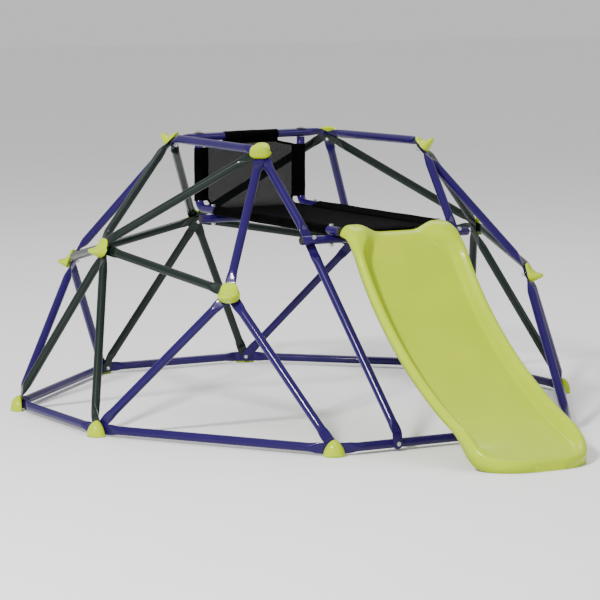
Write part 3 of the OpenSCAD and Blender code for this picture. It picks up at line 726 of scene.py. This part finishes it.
for word, edge in (("left", edges_left), ("right", edges_right)):
    sleeves.append(binding("sling_binding_top_" + word, near(edge, 0, 34)))
    sleeves.append(binding("sling_binding_bend_" + word, near(edge, bend_at - 30, bend_at + 30)))
HEM_HALF, HEM_THICK = 38.0, 1.8
front = [(-CLOTH_X + 2 * CLOTH_X * k / 20, SEAT_FRONT + 34, RAIL_Z) for k in range(21)]
forward, up = np.array([0, 1.0, 0]), np.array([0, 0, 1.0])
rings = [oval(np.array(p), forward, up, HEM_HALF, HEM_THICK, 6) for p in front]
sleeves.append(loft("sling_front_hem", rings, sleeve_cloth))
for piece in sleeves:
    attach(piece, "root")
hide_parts("sling")

# ---------------------------------------------------------------------------
# Slide
# One moulded lime plastic shell: rolled side rails, a dished bed, a rounded and rolled
# nose on the ground, and a hook under its lip that drops over the cross tube.
# ---------------------------------------------------------------------------
SLIDE_HALF, NOSE_CORNER, SHELL = 203.0, 150.0, 4.5
# The lip's place and radius; the slope below it and at the run-out, each with its curve's arm.
LIP_Y, LIP_Z, LIP_R = -630.0, 633.0, 60.0
DROP_ANGLE, DROP_ARM = 62.0, 380.0
RUN_ANGLE, RUN_ARM = 7.0, 200.0
RUN_END, RUN_END_Z, NOSE_FLAT = -1478.0, 29.0, 21.0
# The outer hem hangs this far below the rail, measured from just inside the outline.
HEM_IN, HEM_DEPTH = 14.0, 27.0
HOOK_ROUND = 1.5


def slide_line():
    """Bed centre line as (y, z, slope in degrees, length so far), from the lip to the nose."""
    rows = []
    for k in range(12):
        a = math.radians(DROP_ANGLE * k / 12)
        rows.append((LIP_Y - LIP_R * math.sin(a), LIP_Z - LIP_R * (1 - math.cos(a)), math.degrees(a)))
    d, r = math.radians(DROP_ANGLE), math.radians(RUN_ANGLE)
    p0 = np.array([LIP_Y - LIP_R * math.sin(d), LIP_Z - LIP_R * (1 - math.cos(d))])
    p3 = np.array([RUN_END, RUN_END_Z])
    p1 = p0 - DROP_ARM * np.array([math.cos(d), math.sin(d)])
    p2 = p3 + RUN_ARM * np.array([math.cos(r), math.sin(r)])
    for k in range(49):
        t = k / 48
        p = (1 - t) ** 3 * p0 + 3 * (1 - t) ** 2 * t * p1 + 3 * (1 - t) * t * t * p2 + t ** 3 * p3
        v = (1 - t) ** 2 * (p1 - p0) + 2 * (1 - t) * t * (p2 - p1) + t * t * (p3 - p2)
        rows.append((p[0], p[1], math.degrees(math.atan2(-v[1], -v[0]))))
    rows.append((RUN_END - NOSE_FLAT * math.cos(r), RUN_END_Z - NOSE_FLAT * math.sin(r), RUN_ANGLE))
    length, line = 0.0, []
    for k, row in enumerate(rows):
        if k:
            length += math.hypot(row[0] - rows[k - 1][0], row[1] - rows[k - 1][1])
        line.append((*row, length))
    return line


LINE = slide_line()
LINE_S = [row[3] for row in LINE]
SLIDE_LEN = LINE_S[-1]


def mix(a, b, t):
    return a * (1 - t) + b * t


def edge_half(s):
    """Half the slide's width in plan: constant, then round the corners of the nose."""
    over = max(0.0, s - (SLIDE_LEN - NOSE_CORNER))
    return SLIDE_HALF - NOSE_CORNER + math.sqrt(max(0.0, NOSE_CORNER ** 2 - over ** 2))


def edge_distance(s, x):
    """How far a point of the bed lies in from the slide's outline."""
    side, ahead = abs(x) - (SLIDE_HALF - NOSE_CORNER), s - (SLIDE_LEN - NOSE_CORNER)
    if side > 0 and ahead > 0:
        return max(0.0, NOSE_CORNER - math.hypot(side, ahead))
    return max(0.0, min(SLIDE_HALF - abs(x), SLIDE_LEN - s))


def rail_height(s, q):
    """Height above the bed at q in from the outline: a round crest, then an inner wall to the bed."""
    k = ease(s / 130)
    crest = mix(mix(26.5, 39.0, k), 7.0, ease((s - (SLIDE_LEN - 200)) / 160))
    r, wall, foot = mix(34.0, 13.0, k), mix(62.0, 17.0, k), mix(140.0, 43.0, k)
    if q < r:
        return crest - r + math.sqrt(r * r - (r - q) ** 2)
    return crest * (1 - ease((q - wall) / (foot - wall)))


def slide_point(s, x, h):
    """A point h above the bed, square to it, and never under the ground."""
    y, z, slope = [float(np.interp(s, LINE_S, [row[k] for row in LINE])) for k in range(3)]
    a = math.radians(slope)
    return np.array([x, y - h * math.sin(a), max(0.0, z + h * math.cos(a))])


def slide_ring(s, down=0.0):
    """One closed section: the top from hem to hem, then the underside; down drops it to the ground."""
    half = edge_half(s)
    to_ground = ease((s - (SLIDE_LEN - 235)) / 205)
    insets = (0, 0.5, 2, 4.5, 8, 12, 16, 20, 25, 30, 35, 40, 46, 54, 64, 76, 90, 106, 124, 144, 166, 190)
    across = [-half + q * half / SLIDE_HALF for q in insets]
    across = across + [0.0] + [-x for x in across[::-1]]
    top, under = [], []
    for x in across:
        h = rail_height(s, edge_distance(s, x))
        top.append(slide_point(s, x, h))
        under.append(slide_point(s, x * (half - SHELL) / half, h - SHELL))
    hems = []
    for side, inset in ((-1, 0.0), (-1, SHELL), (1, 0.0), (1, SHELL)):
        hem = slide_point(s, side * (half - inset), rail_height(s, HEM_IN) - HEM_DEPTH)
        hem[2] = mix(hem[2], 0.0, to_ground)
        hems.append(hem)
    ring = [hems[0]] + top + [hems[2], hems[3]] + under[::-1] + [hems[1]]
    for p in ring:
        p[2] = mix(p[2], 0.0, down)
    return ring


stations = set(round(s, 2) for s in LINE_S)
for low, high in zip(LINE_S[:-1], LINE_S[1:]):
    stations.add(round((low + high) / 2, 2))
NOSE_STATIONS = (0, 0.5, 2, 4.5, 8, 12, 16, 20, 25, 30, 35, 40, 46, 54, 62, 70, 78, 86, 94)
stations |= set(round(SLIDE_LEN - q, 2) for q in NOSE_STATIONS)
rings = [slide_ring(s) for s in sorted(stations)] + [slide_ring(SLIDE_LEN, t) for t in (0.5, 0.9, 1.0)]
slide = loft("skin_slide", rings, lime_plastic, caps=False)
# The open end under the lip is closed with strips between the top and the underside.
n = len(rings[0])
mesh = slide.data
work = bmesh.new()
work.from_mesh(mesh)
work.verts.ensure_lookup_table()
for i in range(n // 2 - 1):
    work.faces.new([work.verts[q] for q in (n - 1 - i, n - 2 - i, i + 1, i)])
bmesh.ops.recalc_face_normals(work, faces=work.faces)
work.to_mesh(mesh)
work.free()
for p in mesh.polygons:
    p.use_smooth = True
mesh.update()


def hook_plate(name, low, high):
    """A plate of the hook, with rounded edges, between two opposite corners."""
    mesh = bpy.data.meshes.new(name)
    work = bmesh.new()
    bmesh.ops.create_cube(work, size=1)
    low, high = (np.array(low) + DOME_AXIS) * MM, (np.array(high) + DOME_AXIS) * MM
    for v in work.verts:
        v.co = Vector([(low[i] + high[i]) / 2 + v.co[i] * (high[i] - low[i]) for i in range(3)])
    bmesh.ops.bevel(work, geom=work.edges[:], offset=HOOK_ROUND * MM, segments=3, affect="EDGES", profile=0.5)
    work.to_mesh(mesh)
    work.free()
    mesh.materials.append(lime_plastic)
    for p in mesh.polygons:
        p.use_smooth = True
    piece = bpy.data.objects.new(name, mesh)
    bpy.context.collection.objects.link(piece)
    return piece


hook_top = hook_plate("hook_top", (-165, -634, 625.7), (165, -551, 630))
hook_drop = hook_plate("hook_drop", (-165, -555.5, 604), (165, -551, 630))
slide = join("skin_slide", [slide, hook_top, hook_drop])
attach(slide, "root")
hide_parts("slide")

# ---------------------------------------------------------------------------
# Floor, light and camera
# A plain pale floor that runs back into the same pale light, and three soft lamps.
# ---------------------------------------------------------------------------
floor_mat, tree, shader = material("pale_floor")
tint(tree, shader, noise_node(tree, 3, 3, 0.5), (0.93, 0.93, 0.93), (0.95, 0.95, 0.95))
shader.inputs["Roughness"].default_value = 0.7
bpy.ops.mesh.primitive_plane_add(size=60, location=(0, 0, -0.0005))
floor = bpy.context.object
floor.name = "floor"
floor.data.materials.append(floor_mat)

world = bpy.data.worlds.new("studio")
bpy.context.scene.world = world
world.use_nodes = True
back = world.node_tree.nodes["Background"]
back.inputs["Color"].default_value = (1, 1, 1, 1)
back.inputs["Strength"].default_value = 0.7


def lamp(name, place, size, power, target=(0, 0.1, 0.5)):
    light = bpy.data.lights.new(name, "AREA")
    light.shape = "SQUARE"
    light.size = size
    light.energy = power
    obj = bpy.data.objects.new(name, light)
    obj.location = place
    obj.rotation_euler = (Vector(target) - Vector(place)).to_track_quat("-Z", "Y").to_euler()
    bpy.context.collection.objects.link(obj)


lamp("key_light", (-4.8, -2.6, 4.4), 0.7, 560)
lamp("fill_light", (4.0, -5.5, 4.5), 2.0, 60)
lamp("top_light", (2.0, 3.0, 6.0), 3.5, 160)

camera = bpy.data.cameras.new("camera")
camera.lens = 173.9
camera.sensor_width = 36
camera_object = bpy.data.objects.new("camera", camera)
bpy.context.collection.objects.link(camera_object)
AIM = Vector((0.0158, 0.2854, 0.3427))
AZ, EL, FAR = math.radians(-30.0), math.radians(7.1), 9.753
toward = Vector((math.sin(AZ) * math.cos(EL), -math.cos(AZ) * math.cos(EL), math.sin(EL)))
camera_object.location = AIM + toward * FAR
camera_object.rotation_euler = (-toward).to_track_quat("-Z", "Y").to_euler()
bpy.context.scene.camera = camera_object
